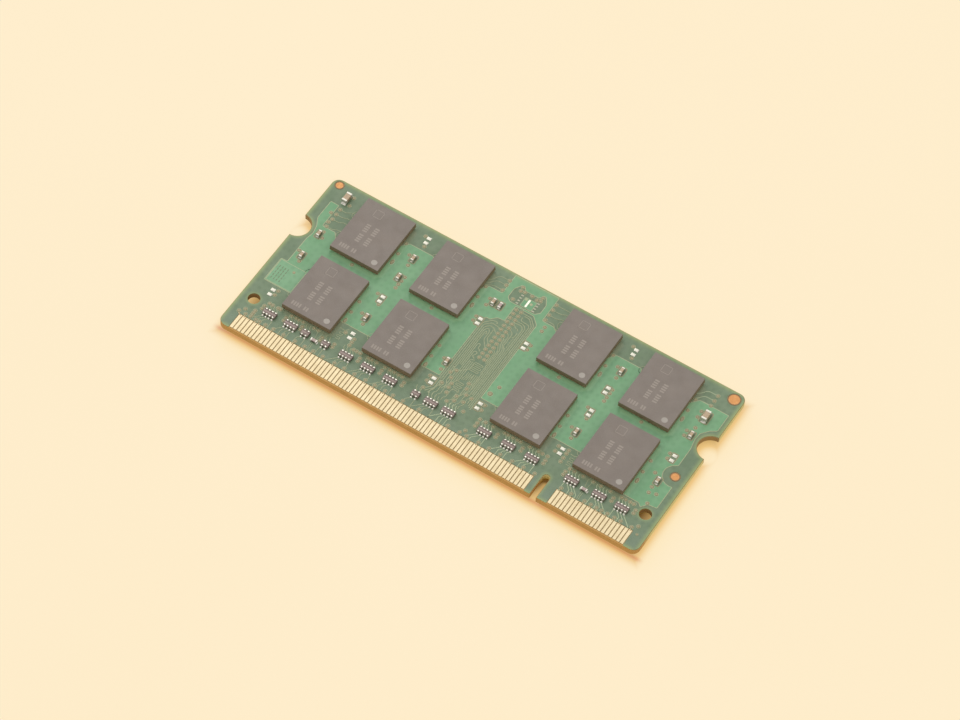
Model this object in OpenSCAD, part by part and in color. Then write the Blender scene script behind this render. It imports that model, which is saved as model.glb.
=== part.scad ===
// Small-outline memory module: a keyed circuit board with contacts along one long edge and memory packages
// soldered to both faces.
// Origin: centre of the outline, on the plane of the lower packages' faces.
// +X runs along the contact edge, +Y points away from the contacts, and seen from +Z the key slot is right of
// the middle. The upper face is the front and the lower face is the back.
// Places on a face are given from the board's corner at the left end of the contact edge, in millimetres.

/* [Board] */
// Length of the board along the contact edge
board_l = 67.6; // [67.4:0.1:67.8]
// Width of the board, from the contact edge to the back edge
board_w = 30; // [29.8:0.1:30.2]
// Thickness of the board with both coats of solder mask
board_t = 1; // [0.9:0.02:1.1]
// Thickness of each coat of solder mask
mask_t = 0.04; // [0.02:0.01:0.06]
// Radius of the board's four corners
corner_r = 1.2; // [0.6:0.1:2]
// Distance by which the solder mask stops short of the board's outline
mask_inset = 0.08; // [0.04:0.02:0.3]

/* [Keying, latching and tooling] */
// Distance of the key slot's centre from the left end
key_x = 51.35; // [51:0.05:51.6]
// Width of the key slot
key_w = 1; // [0.9:0.05:1.1]
// Depth of the key slot from the contact edge
key_depth = 4; // [3.5:0.1:4.5]
// Radius of the latch notch in each short edge
notch_r = 2; // [1.8:0.05:2.1]
// Height of the latch notches above the contact edge
notch_y = 20; // [19.5:0.1:20.5]
// Diameter of the two tooling holes
hole_d = 1.8; // [1.6:0.05:2]
// Distance of each tooling hole from its short edge
hole_x = 2.1; // [2:0.05:2.4]
// Height of the tooling holes above the contact edge
hole_y = 6; // [5.8:0.1:6.2]

/* [Edge contacts] */
// Distance between neighbouring contacts
contact_pitch = 0.6; // [0.6:0.01:0.62]
// Width of one contact
contact_w = 0.45; // [0.35:0.01:0.48]
// Length of one contact
contact_l = 2.5; // [2:0.05:2.6]
// Strip of bare laminate between the contacts and the board's edge
contact_setback = 0.25; // [0.1:0.05:0.4]
// Thickness of the contact plating
contact_t = 0.05; // [0.03:0.01:0.08]
// Number of contacts on the long side of the key slot
contacts_long = 80; // [78:1:80]
// Number of contacts on the short side of the key slot
contacts_short = 20; // [18:1:20]
// Distance of the upper face's first contact from the left end
first_contact_x = 2.15; // [2.1:0.01:2.2]
// Shift of the lower face's contacts against the upper face's
contact_stagger = 0.3; // [0.28:0.01:0.32]

/* [Memory packages] */
// Length of a package, across the contact edge
package_l = 10; // [9.5:0.1:10.4]
// Width of a package, along the contact edge
package_w = 8; // [7.5:0.1:8.4]
// Height of the reflowed solder balls
ball_h = 0.3; // [0.2:0.02:0.35]
// Diameter of a solder ball
ball_d = 0.44; // [0.4:0.01:0.5]
// Distance between neighbouring solder balls
ball_pitch = 0.8; // [0.75:0.01:0.85]
// Thickness of a package's substrate
substrate_t = 0.2; // [0.15:0.01:0.3]
// Thickness of a package's moulded case
case_t = 0.65; // [0.5:0.05:0.8]

/* [Passive parts] */
// Height of a resistor array
array_h = 0.4; // [0.3:0.05:0.5]
// Height of a single resistor
resistor_h = 0.35; // [0.3:0.05:0.45]
// Height of a small capacitor
capacitor_h = 0.5; // [0.4:0.05:0.6]
// Height of a large capacitor
large_capacitor_h = 0.8; // [0.6:0.05:0.85]

/* [Hidden] */
$fn = 48;

laminate_t = board_t - 2 * mask_t;
package_h = ball_h + substrate_t + case_t;
back_z = package_h;
front_z = package_h + board_t;

// Clear stretch of the edge from the last long-side contact's centre to the first short-side contact's centre
key_gap = 4.2;
// Margin of the mask's windows round the contacts
window_margin = 0.1;

// The moulded case is a hair smaller than the substrate all round
case_step = 0.02;
// Thickness of the copper lands of the fiducials and of the empty footprint
land_t = 0.03;

package_x = [10.2, 23.4, 44.2, 57.4];
package_y = [11.75, 23.75];
package_places = [for (y = package_y) for (x = package_x) [x, y]];
ball_columns = [-4, -3, -2, 2, 3, 4];
ball_rows = 10;

array_y = 5;
array_w = 1;
array_pitch = 0.5;
pair_pitch = 0.6;
// Each terminal of an array wraps a notch in the body, which is a hair lower and narrower than its terminals
terminal_w = 0.26;
terminal_depth = 0.2;
body_step = 0.03;

resistor_size = [0.5, 1, resistor_h];
capacitor_size = [0.5, 1, capacitor_h];
large_capacitor_size = [0.85, 1.6, large_capacitor_h];
small_cap_l = 0.22;
large_cap_l = 0.32;

front_array_x = [5.4, 8.9, 18, 21.6, 25.2, 31.85, 34.7, 40.5, 44.35, 48.1, 54.45, 58.8, 62.35];
front_pair_x = [11.3, 14.6, 29.4];
back_array_x = [6.2, 9.8, 13.4, 19.3, 22.9, 26.5, 30.6, 34.2, 41.2, 45, 54.9, 58.6, 62.1];
back_pair_x = [16.6, 38.3];

// Places of two-terminal parts: x, y and the turn of the long side away from +Y
front_resistors = [[12.95, 4.65, 90], [56.6, 4.65, 90], [31.15, 24, 0]];
back_resistors = [[37.2, 26.6, 0], [30.6, 26.6, 0], [48.2, 4.8, 90]];
front_capacitors = [
    [3.5, 20.2, 0], [3.5, 15.8, 0], [16.8, 24, 0], [16.8, 20.2, 0], [16.8, 11.95, 0], [30.05, 24, 0],
    [30.05, 12, 0], [50.9, 24, 0], [50.9, 12, 0], [64.2, 20.3, 0], [64.2, 11.4, 0]
];
back_capacitors = [
    [3.5, 20.2, 0], [3.5, 11.8, 0], [16.8, 27.7, 0], [16.8, 23.6, 0], [16.8, 15.8, 0], [16.8, 11.8, 0],
    [30.4, 20.2, 0], [30.4, 12, 0], [37.4, 23.4, 0], [37.4, 15.8, 0], [50.8, 27.7, 0], [50.8, 23.6, 0],
    [50.8, 15.8, 0], [50.8, 11.8, 0], [64.1, 20.2, 0], [64.1, 15.8, 0]
];
front_large_capacitors = [[3.4, 27.45, 0], [64.4, 23.95, 0]];
back_large_capacitors = [[3.5, 26.2, 0], [64.1, 26.2, 0]];

// Places of tinned land pairs that carry no part
front_bare_pairs = [
    [3.5, 8.25], [16.75, 27.75], [16.8, 15.75], [16.75, 8.25], [30.05, 20.2], [30.05, 8.25], [37.55, 20.2],
    [37.55, 8.25], [50.75, 27.75], [50.8, 20.2], [50.8, 15.75], [50.8, 8.25], [64.05, 15.75]
];
back_bare_pairs = [[3.5, 8.25], [30.4, 8.25], [37.4, 8.25], [64.1, 11.8]];
bare_land = [0.66, 0.5, 0.06];
bare_land_gap = 0.38;

// The identity chip under the board and its empty twin footprint above share one place
identity_place = [34.1, 26.5];
identity_l = 3;
identity_w = 2;
identity_h = 0.8;
identity_pitch = 0.5;
identity_terminal = [0.4, 0.25, 0.2];
footprint_land = [0.4, 0.24, land_t];
footprint_centre_land = [0.3, 1.4, land_t];

// Fiducial discs: x, y and diameter
front_fiducials_at = [[1.15, 29, 1.1], [66.15, 28.7, 1.6], [65.8, 13.35, 1.15]];
back_fiducials_at = [[1.45, 28.7, 1.1], [66.45, 28.9, 1.1], [1.8, 13.35, 1.15]];
fiducial_clearance = 0.2;

// ---- placing on the two faces

module on_front() {
    translate([-board_l / 2, -board_w / 2, front_z]) children();
}

module on_back() {
    translate([-board_l / 2, -board_w / 2, back_z]) mirror([0, 0, 1]) children();
}

module block(size) {
    translate([-size[0] / 2, -size[1] / 2, 0]) cube(size);
}

// ---- board

// The board's outline, drawn smaller by inset all round, with its notches and slot larger by as much. The
// tooling holes are drilled last, so they keep their size.
module outline(inset) {
    r = corner_r - inset;
    difference() {
        union() {
            translate([corner_r, inset]) square([board_l - 2 * corner_r, board_w - 2 * inset]);
            translate([inset, corner_r]) square([board_l - 2 * inset, board_w - 2 * corner_r]);
            for (x = [corner_r, board_l - corner_r]) {
                for (y = [corner_r, board_w - corner_r]) {
                    translate([x, y]) circle(r = r);
                }
            }
        }
        for (x = [0, board_l]) {
            translate([x, notch_y]) circle(r = notch_r + inset);
        }
        for (x = [hole_x, board_l - hole_x]) {
            translate([x, hole_y]) circle(d = hole_d);
        }
        translate([key_x - key_w / 2 - inset, -1]) square([key_w + 2 * inset, key_depth - key_w / 2 + 1]);
        translate([key_x, key_depth - key_w / 2]) circle(d = key_w + 2 * inset);
    }
}

module circuit_board() {
    color("darkkhaki")
    translate([-board_l / 2, -board_w / 2, back_z + mask_t])
    linear_extrude(laminate_t) outline(0);
}

// The two groups of contacts: the x of the first one's centre and their number
function contact_groups(first_x) = [
    [first_x, contacts_long],
    [first_x + (contacts_long - 1) * contact_pitch + key_gap, contacts_short]
];

// Windows in a coat of mask, one over each group of contacts
module contact_windows(first_x) {
    height = contact_setback + contact_l + window_margin;
    for (group = contact_groups(first_x)) {
        translate([group[0] - contact_w / 2 - window_margin, -1])
        square([(group[1] - 1) * contact_pitch + contact_w + 2 * window_margin, 1 + height]);
    }
}

// A coat of solder mask, below the plane z = 0 of its face
module solder_mask(first_x, fiducials) {
    color("seagreen")
    translate([0, 0, -mask_t])
    linear_extrude(mask_t) difference() {
        outline(mask_inset);
        contact_windows(first_x);
        for (f = fiducials) {
            translate([f[0], f[1]]) circle(d = f[2] + 2 * fiducial_clearance);
        }
    }
}

module fiducials(places) {
    color("peru")
    for (f = places) {
        translate([f[0], f[1], -mask_t]) cylinder(d = f[2], h = land_t);
    }
}

// One row of gold contacts with the gap at the key slot
module contacts(first_x) {
    color("gold")
    for (group = contact_groups(first_x)) {
        for (i = [0:group[1] - 1]) {
            translate([group[0] + i * contact_pitch, contact_setback + contact_l / 2, -mask_t])
            block([contact_w, contact_l, contact_t]);
        }
    }
}

// ---- memory packages

// A reflowed ball, as an eight-sided barrel between the land below and the land above
module solder_ball() {
    cylinder(d = ball_d, h = ball_h, $fn = 8);
}

module solder_balls() {
    color("lightgray")
    for (place = package_places) {
        for (column = ball_columns) {
            for (row = [0:ball_rows - 1]) {
                translate([
                    place[0] + column * ball_pitch,
                    place[1] + (row - (ball_rows - 1) / 2) * ball_pitch,
                    0
                ]) solder_ball();
            }
        }
    }
}

module memory_substrate(place) {
    color("darkolivegreen")
    translate([place[0], place[1], ball_h]) block([package_w, package_l, substrate_t]);
}

module memory_case(place) {
    color("dimgray")
    translate([place[0], place[1], ball_h + substrate_t])
    block([package_w - 2 * case_step, package_l - 2 * case_step, case_t]);
}

// ---- resistor arrays

function terminal_xs(count, pitch) = [for (i = [0:count - 1]) (i - (count - 1) / 2) * pitch];

module array_terminals_at(count, pitch) {
    middle_y = (array_w - terminal_depth) / 2;
    for (x = terminal_xs(count, pitch)) {
        for (side = [-1, 1]) {
            translate([x, side * middle_y, 0]) block([terminal_w, terminal_depth, array_h]);
        }
    }
}

// A ceramic body with a notch for every terminal
module array_body(count, pitch) {
    difference() {
        block([count * pitch, array_w - 2 * body_step, array_h - body_step]);
        for (x = terminal_xs(count, pitch)) {
            for (side = [-1, 1]) {
                translate([x, side * array_w / 2, -1]) block([terminal_w, 2 * terminal_depth, array_h + 2]);
            }
        }
    }
}

module array_bodies(quads, pairs) {
    color("darkslategray") {
        for (x = quads) {
            translate([x, array_y, 0]) array_body(4, array_pitch);
        }
        for (x = pairs) {
            translate([x, array_y, 0]) array_body(2, pair_pitch);
        }
    }
}

module array_terminals(quads, pairs) {
    color("silver") {
        for (x = quads) {
            translate([x, array_y, 0]) array_terminals_at(4, array_pitch);
        }
        for (x = pairs) {
            translate([x, array_y, 0]) array_terminals_at(2, pair_pitch);
        }
    }
}

// ---- two-terminal parts

// Moves children to a part's place [x, y, turn]
module at_place(place) {
    translate([place[0], place[1], 0]) rotate([0, 0, place[2]]) children();
}

// The ceramic between the caps of a two-terminal part of size [width, length, height]
module chip_body(size, cap_l) {
    body_size = [size[0] - 2 * body_step, size[1] - 2 * cap_l, size[2] - 2 * body_step];
    translate([0, 0, body_step]) block(body_size);
}

module chip_caps(size, cap_l) {
    for (side = [-1, 1]) {
        translate([0, side * (size[1] - cap_l) / 2, 0]) block([size[0], cap_l, size[2]]);
    }
}

module resistor_bodies(places) {
    color("black")
    for (place = places) {
        at_place(place) chip_body(resistor_size, small_cap_l);
    }
}

module resistor_terminals(places) {
    color("silver")
    for (place = places) {
        at_place(place) chip_caps(resistor_size, small_cap_l);
    }
}

module capacitor_bodies(small, large) {
    color("tan") {
        for (place = small) {
            at_place(place) chip_body(capacitor_size, small_cap_l);
        }
        for (place = large) {
            at_place(place) chip_body(large_capacitor_size, large_cap_l);
        }
    }
}

module capacitor_terminals(small, large) {
    color("silver") {
        for (place = small) {
            at_place(place) chip_caps(capacitor_size, small_cap_l);
        }
        for (place = large) {
            at_place(place) chip_caps(large_capacitor_size, large_cap_l);
        }
    }
}

// ---- tinned lands without a part

module bare_lands(places) {
    color("whitesmoke")
    for (place = places) {
        for (side = [-1, 1]) {
            translate([place[0], place[1] + side * (bare_land[1] + bare_land_gap) / 2, 0]) block(bare_land);
        }
    }
}

// ---- identity chip and its twin footprint

module identity_terminals_at(size) {
    for (side = [-1, 1]) {
        for (y = terminal_xs(4, identity_pitch)) {
            translate([side * (identity_l - size[0]) / 2, y, 0]) block(size);
        }
    }
}

module sensor_footprint() {
    color("whitesmoke")
    translate([identity_place[0], identity_place[1], 0]) {
        identity_terminals_at(footprint_land);
        block(footprint_centre_land);
    }
}

module identity_chip_case() {
    color("dimgray")
    translate([identity_place[0], identity_place[1], 0]) difference() {
        block([identity_l, identity_w, identity_h]);
        for (side = [-1, 1]) {
            for (y = terminal_xs(4, identity_pitch)) {
                translate([side * identity_l / 2, y, -1])
                block([2 * identity_terminal[0], identity_terminal[1], 1 + identity_terminal[2]]);
            }
        }
    }
}

module identity_chip_terminals() {
    color("silver")
    translate([identity_place[0], identity_place[1], 0]) identity_terminals_at(identity_terminal);
}

// ---- the nodes

back_first_x = first_contact_x + contact_stagger;

circuit_board();
on_front() solder_mask(first_contact_x, front_fiducials_at);  // front_solder_mask
on_back() solder_mask(back_first_x, back_fiducials_at);  // back_solder_mask
on_front() contacts(first_contact_x);  // front_contacts
on_back() contacts(back_first_x);  // back_contacts
on_front() fiducials(front_fiducials_at);  // front_fiducials
on_back() fiducials(back_fiducials_at);  // back_fiducials
on_front() solder_balls();  // front_solder_balls
on_back() solder_balls();  // back_solder_balls
for (i = [0:7]) {
    place = package_places[i];
    on_front() memory_substrate(place);
    on_front() memory_case(place);
    on_back() memory_substrate(place);
    on_back() memory_case(place);
}
on_front() array_bodies(front_array_x, front_pair_x);  // front_array_bodies
on_front() array_terminals(front_array_x, front_pair_x);  // front_array_terminals
on_front() resistor_bodies(front_resistors);  // front_resistor_bodies
on_front() resistor_terminals(front_resistors);  // front_resistor_terminals
on_front() capacitor_bodies(front_capacitors, front_large_capacitors);  // front_capacitor_bodies
on_front() capacitor_terminals(front_capacitors, front_large_capacitors);  // front_capacitor_terminals
on_front() bare_lands(front_bare_pairs);  // front_bare_lands
on_front() sensor_footprint();  // front_sensor_footprint
on_back() array_bodies(back_array_x, back_pair_x);  // back_array_bodies
on_back() array_terminals(back_array_x, back_pair_x);  // back_array_terminals
on_back() resistor_bodies(back_resistors);  // back_resistor_bodies
on_back() resistor_terminals(back_resistors);  // back_resistor_terminals
on_back() capacitor_bodies(back_capacitors, back_large_capacitors);  // back_capacitor_bodies
on_back() capacitor_terminals(back_capacitors, back_large_capacitors);  // back_capacitor_terminals
on_back() bare_lands(back_bare_pairs);  // back_bare_lands
on_back() identity_chip_case();
on_back() identity_chip_terminals();
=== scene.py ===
import math

import bmesh
import bpy
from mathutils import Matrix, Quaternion, Vector


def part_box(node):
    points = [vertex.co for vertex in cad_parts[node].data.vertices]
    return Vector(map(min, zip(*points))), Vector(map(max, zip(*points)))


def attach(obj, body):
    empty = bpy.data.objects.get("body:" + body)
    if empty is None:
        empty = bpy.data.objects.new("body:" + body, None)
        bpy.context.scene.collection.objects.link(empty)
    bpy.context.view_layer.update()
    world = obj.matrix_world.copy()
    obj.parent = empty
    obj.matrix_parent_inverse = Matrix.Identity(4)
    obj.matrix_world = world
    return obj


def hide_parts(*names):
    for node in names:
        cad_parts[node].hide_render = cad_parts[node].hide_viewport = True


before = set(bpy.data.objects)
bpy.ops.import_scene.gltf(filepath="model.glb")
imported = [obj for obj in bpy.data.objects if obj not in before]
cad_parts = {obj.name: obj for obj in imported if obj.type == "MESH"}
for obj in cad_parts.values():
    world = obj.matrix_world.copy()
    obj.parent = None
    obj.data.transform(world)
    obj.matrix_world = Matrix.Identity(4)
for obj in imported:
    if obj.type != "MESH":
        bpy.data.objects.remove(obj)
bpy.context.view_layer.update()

# Looks for the memory module. Places on a face of the board are given in millimetres from its corner at the
# left end of the contact edge, and heights in millimetres above the solder mask.

MM = 0.001
BOARD_LOW, BOARD_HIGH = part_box("circuit_board")
BOARD_L = (BOARD_HIGH.x - BOARD_LOW.x) / MM
BOARD_W = (BOARD_HIGH.y - BOARD_LOW.y) / MM

ROOT = "root"
# Heights of the pours, of the lowest traces and of the foot of whatever stands on the mask
POUR_TOP = 0.024
TRACE_TOP = 0.018
SUNK = -0.01
# Of every seven traces each is a step higher than the last, so that two that cross seldom share a plane
TRACE_STEP, TRACE_TURNS = 0.0012, 7
# Rows over the contact edge: the contacts' ends, and the vias next to the contacts and above the arrays
CONTACT_ENDS = 2.7
VIAS_BY_CONTACTS = 3.2
VIAS_BY_ARRAYS = 6.5


# ---- places and outlines

class Face:
    """One face of the board. up is 1 for the upper face and -1 for the lower one."""

    def __init__(self, side, up):
        """Finds the mask's surface on one side."""
        low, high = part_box(f"{side}_solder_mask")
        self.side = side
        self.up = up
        self.level = high.z if up > 0 else low.z

    def at(self, x, y, z):
        """The frame's point, in metres, over a place on the face."""
        return Vector((BOARD_LOW.x + x * MM, BOARD_LOW.y + y * MM, self.level + self.up * z * MM))

    def place(self, point):
        """A frame point as x, y and height on this face, in millimetres."""
        height = (point.z - self.level) * self.up / MM
        return Vector(((point.x - BOARD_LOW.x) / MM, (point.y - BOARD_LOW.y) / MM, height))

    def solids(self, node):
        """The separate solids of a CAD node as (middle, size), on this face and in millimetres."""
        found = []
        for low, high in islands(f"{self.side}_{node}"):
            a, b = self.place(low), self.place(high)
            size = Vector((b.x - a.x, b.y - a.y, abs(b.z - a.z)))
            found.append((Vector(((a.x + b.x) / 2, (a.y + b.y) / 2, min(a.z, b.z))), size))
        return found


def islands(node):
    """The box of each separate solid in a CAD node, in the frame, from left to right."""
    bm = bmesh.new()
    bm.from_mesh(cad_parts[node].data)
    bmesh.ops.remove_doubles(bm, verts=bm.verts, dist=1e-6)
    unseen = set(bm.verts)
    boxes = []
    for first in list(bm.verts):
        if first not in unseen:
            continue
        unseen.discard(first)
        waiting, members = [first], []
        while waiting:
            vertex = waiting.pop()
            members.append(vertex.co.copy())
            for edge in vertex.link_edges:
                other = edge.other_vert(vertex)
                if other in unseen:
                    unseen.discard(other)
                    waiting.append(other)
        low = Vector([min(co[i] for co in members) for i in range(3)])
        high = Vector([max(co[i] for co in members) for i in range(3)])
        boxes.append((low, high))
    bm.free()
    return sorted(boxes, key=lambda box: (round(box[0].x, 6), round(box[0].y, 6)))


def rounded(points, radius, closed=True, steps=4):
    """The same outline or path with its corners rounded."""
    points = [Vector(p) for p in points]
    result = []
    for i, here in enumerate(points):
        if not closed and i in (0, len(points) - 1):
            result.append(here)
            continue
        before, after = points[i - 1], points[(i + 1) % len(points)]
        start = here + (before - here).normalized() * min(radius, (before - here).length * 0.45)
        end = here + (after - here).normalized() * min(radius, (after - here).length * 0.45)
        for k in range(steps + 1):
            t = k / steps
            result.append(start * (1 - t) ** 2 + here * 2 * t * (1 - t) + end * t * t)
    return result


def sideways(before, here, after):
    """How far a point of a path moves for each unit of offset to its left, with a mitred corner."""
    arrive, leave = (here - before), (after - here)
    if arrive.length < 1e-9:
        arrive = leave
    if leave.length < 1e-9:
        leave = arrive
    arrive, leave = arrive.normalized(), leave.normalized()
    a, b = Vector((-arrive.y, arrive.x)), Vector((-leave.y, leave.x))
    sharpest = 0.35
    return (a + b) / max(sharpest, 1 + a.dot(b))


def arc(x, y, radius, start, end, steps=10):
    """Points on an arc, with its angles in degrees."""
    angles = [math.radians(start + (end - start) * k / steps) for k in range(steps + 1)]
    return [(x + radius * math.cos(a), y + radius * math.sin(a)) for a in angles]


def meander(x0, x1, y0, y1, pitch):
    """A path that runs to and fro between x0 and x1 while it climbs from y0 to y1."""
    path, y, side = [], y0, 0
    while y <= y1:
        ends = (x0, x1) if side == 0 else (x1, x0)
        path += [(ends[0], y), (ends[1], y)]
        y += pitch
        side = 1 - side
    return path


# ---- building a piece

class Piece:
    """Gathers small solids on one face into one mesh, which rides on the module."""

    def __init__(self, face, kind, looks, slot="solder_mask"):
        """Starts an empty piece, named after its face and its kind."""
        self.name, self.face, self.slot, self.looks = f"{face.side}_{kind}", face, slot, looks
        self.bm = bmesh.new()
        self.laid = 0

    def point(self, x, y, z):
        """A new vertex over a place."""
        return self.bm.verts.new(self.face.at(x, y, z))

    def skin(self, points, look=0):
        """A new face over some vertices."""
        made = self.bm.faces.new(points)
        made.material_index = look
        return made

    def strip(self, lower, upper, look=0):
        """Joins two rings of the same length with a band of faces."""
        for i in range(len(lower)):
            k = (i + 1) % len(lower)
            self.skin((lower[i], lower[k], upper[k], upper[i]), look)

    def sweep(self, rows, look=0):
        """Joins rows of points into a bar with closed ends."""
        for lower, upper in zip(rows, rows[1:]):
            self.strip(lower, upper, look)
        self.skin(rows[0][::-1], look)
        self.skin(rows[-1], look)

    def slab(self, outline, top, soft=0.03, base=SUNK, look=0, side=None):
        """A plate over an outline, with its upper edge softened. Its side takes the same look or its own."""
        outline = [Vector(p) for p in outline]
        count = len(outline)
        if sum(outline[i - 1].x * p.y - p.x * outline[i - 1].y for i, p in enumerate(outline)) < 0:
            outline.reverse()
        inner = [p + sideways(outline[i - 1], p, outline[(i + 1) % count]) * soft
                 for i, p in enumerate(outline)]
        levels = ((outline, base), (outline, base + (top - base) * 0.7), (inner, top))
        rings = [[self.point(p.x, p.y, z) for p in ring] for ring, z in levels]
        side = look if side is None else side
        self.strip(rings[0], rings[1], side)
        self.strip(rings[1], rings[2], side)
        self.skin(rings[2], look)
        self.skin(rings[0][::-1], side)

    def bar(self, x, y, width, length, top, soft=0.01, base=SUNK, look=0):
        """A rectangular plate about a middle."""
        w, h = width / 2, length / 2
        corners = [(x - w, y - h), (x + w, y - h), (x + w, y + h), (x - w, y + h)]
        self.slab(rounded(corners, min(w, h) * 0.4, steps=2), top, soft, base, look)

    def trace(self, path, width=0.12, look=0, bend=0.12):
        """A raised strip along a path, with soft shoulders and round corners."""
        path = rounded(path, bend, closed=False, steps=3)
        self.laid += 1
        top = TRACE_TOP + TRACE_STEP * (self.laid % TRACE_TURNS)
        shape = ((1, SUNK), (0.95, top * 0.6), (0.6, top), (-0.6, top), (-0.95, top * 0.6), (-1, SUNK))
        rows = []
        for i, here in enumerate(path):
            before, after = path[max(i - 1, 0)], path[min(i + 1, len(path) - 1)]
            out = sideways(before, here, after) * (width / 2)
            rows.append([self.point(here.x + out.x * k, here.y + out.y * k, z) for k, z in shape])
        self.sweep(rows, look)

    def turned(self, x, y, profile, looks, sides=14, stretch=1.0, hollow=False):
        """A round feature from (radius, height) pairs, outermost first, with a look for each band and one for
        the middle. A hollow one is a ring, and the last look is that of its underside."""
        angles = [2 * math.pi * k / sides for k in range(sides)]
        rings = []
        for radius, height in profile:
            places = [(x + radius * math.cos(a), y + radius * stretch * math.sin(a)) for a in angles]
            rings.append([self.point(*place, height) for place in places])
        for k in range(len(rings) - 1):
            self.strip(rings[k], rings[k + 1], looks[k])
        if hollow:
            self.strip(rings[-1], rings[0], looks[-1])
            return
        self.skin(rings[-1], looks[-1])
        self.skin(rings[0][::-1], looks[0])

    def mound(self, x, y, width, length, base, height, look):
        """A blob of solder over a rectangle, full in the middle and down to its base all round."""
        grid, steps = [], 6
        for i in range(steps + 1):
            u = 2 * i / steps - 1
            row = []
            for k in range(steps + 1):
                v = 2 * k / steps - 1
                rise = math.sqrt(max(0.0, (1 - u ** 4) * (1 - v ** 4)))
                pull = 1 - 0.12 * (u * v) ** 2
                place = (x + u * pull * width / 2, y + v * pull * length / 2)
                row.append(self.point(*place, base + height * rise))
            grid.append(row)
        for i in range(steps):
            for k in range(steps):
                self.skin((grid[i][k], grid[i + 1][k], grid[i + 1][k + 1], grid[i][k + 1]), look)
        around = [row[0] for row in grid] + grid[-1][1:]
        around += [row[-1] for row in grid[-2::-1]] + grid[0][-2:0:-1]
        self.skin(around[::-1], look)

    def fillet(self, x, y, direction, width, length, height):
        """Solder that climbs a terminal: high at the place, and down to the land along the direction."""
        inside, rim, foot, steps = 0.03, 0.02, 0.008, 5
        rows = []
        for i in range(steps + 1):
            t = i / steps
            reach = -inside + (length + inside) * t
            rise = rim + (height - rim) * (1 - t) ** 1.8 if i < steps else foot
            half = width / 2 * (1 - 0.25 * t ** 3)
            shape = ((-1, SUNK), (-0.95, rise * 0.5), (-0.6, rise * 0.92), (0, rise), (0.6, rise * 0.92),
                     (0.95, rise * 0.5), (1, SUNK))
            mid_x, mid_y = x + direction[0] * reach, y + direction[1] * reach
            rows.append([self.point(mid_x - direction[1] * half * k, mid_y + direction[0] * half * k, z)
                         for k, z in shape])
        self.sweep(rows)

    def done(self, smooth=40, stands_for=()):
        """Makes the object, with its looks as its materials."""
        bmesh.ops.recalc_face_normals(self.bm, faces=self.bm.faces)
        mesh = bpy.data.meshes.new(self.name)
        self.bm.to_mesh(mesh)
        self.bm.free()
        made = bpy.data.objects.new(self.name, mesh)
        bpy.context.scene.collection.objects.link(made)
        for look in self.looks:
            mesh.materials.append(look)
        mesh.shade_smooth()
        mesh.set_sharp_from_angle(angle=math.radians(smooth))
        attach(made, ROOT)
        if stands_for:
            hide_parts(*stands_for)


# ---- materials

def srgb(red, green, blue):
    """A screen colour from 0 to 255 as the linear colour that the shader takes."""
    shares = [c / 255 for c in (red, green, blue)]
    return tuple(c / 12.92 if c <= 0.04045 else ((c + 0.055) / 1.055) ** 2.4 for c in shares)


# Middles of the notch, the tooling hole and the key slot's round end, from the module's middle
NOTCH = (33.8, 5.0)
TOOLING_HOLE = (31.7, -9.0)
KEY_END = (17.55, -11.5)
# The packages stand in two rows of four. Both halves of the module hold four of them, at the middle plus or
# minus the step in x and in y
PACKAGE_MIDDLE = (17.0, 2.75)
PACKAGE_STEP = (6.6, 6.0)
PACKAGE_HALF = (4.0, 5.0)
FOOTPRINT_CENTRE = (0.45, 11.45)
# How far the painted light at the packages' feet, which offsets their shade, is shifted to the right of the
# feet and in front of them
PAINTED_LIGHT_DRIFT = 0.35
EDGE_GLOW = srgb(150, 166, 102)
BY_CONTACTS = srgb(110, 128, 108)
# The floor's own glow, which is painted light, away from the module; and painted shadow in it close to the
# module, along its front edge and under it
FLOOR_GLOW = (0.96, 0.745, 0.405)
FLOOR_PAINTED_SHADOW_CLOSE = (0.845, 0.535, 0.17)
FLOOR_PAINTED_SHADOW_FRONT = (0.72, 0.28, 0.06)
FLOOR_PAINTED_SHADOW_UNDER = (0.14, 0.06, 0.0)
# The floor's colour under the light
FLOOR_DARK = (0.026, 0.088, 0.18)
FLOOR_LIGHT = (0.03, 0.094, 0.19)
# With this scale the wave texture's bands come out about two sizes apart
WAVE_SCALE = 0.159


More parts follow.
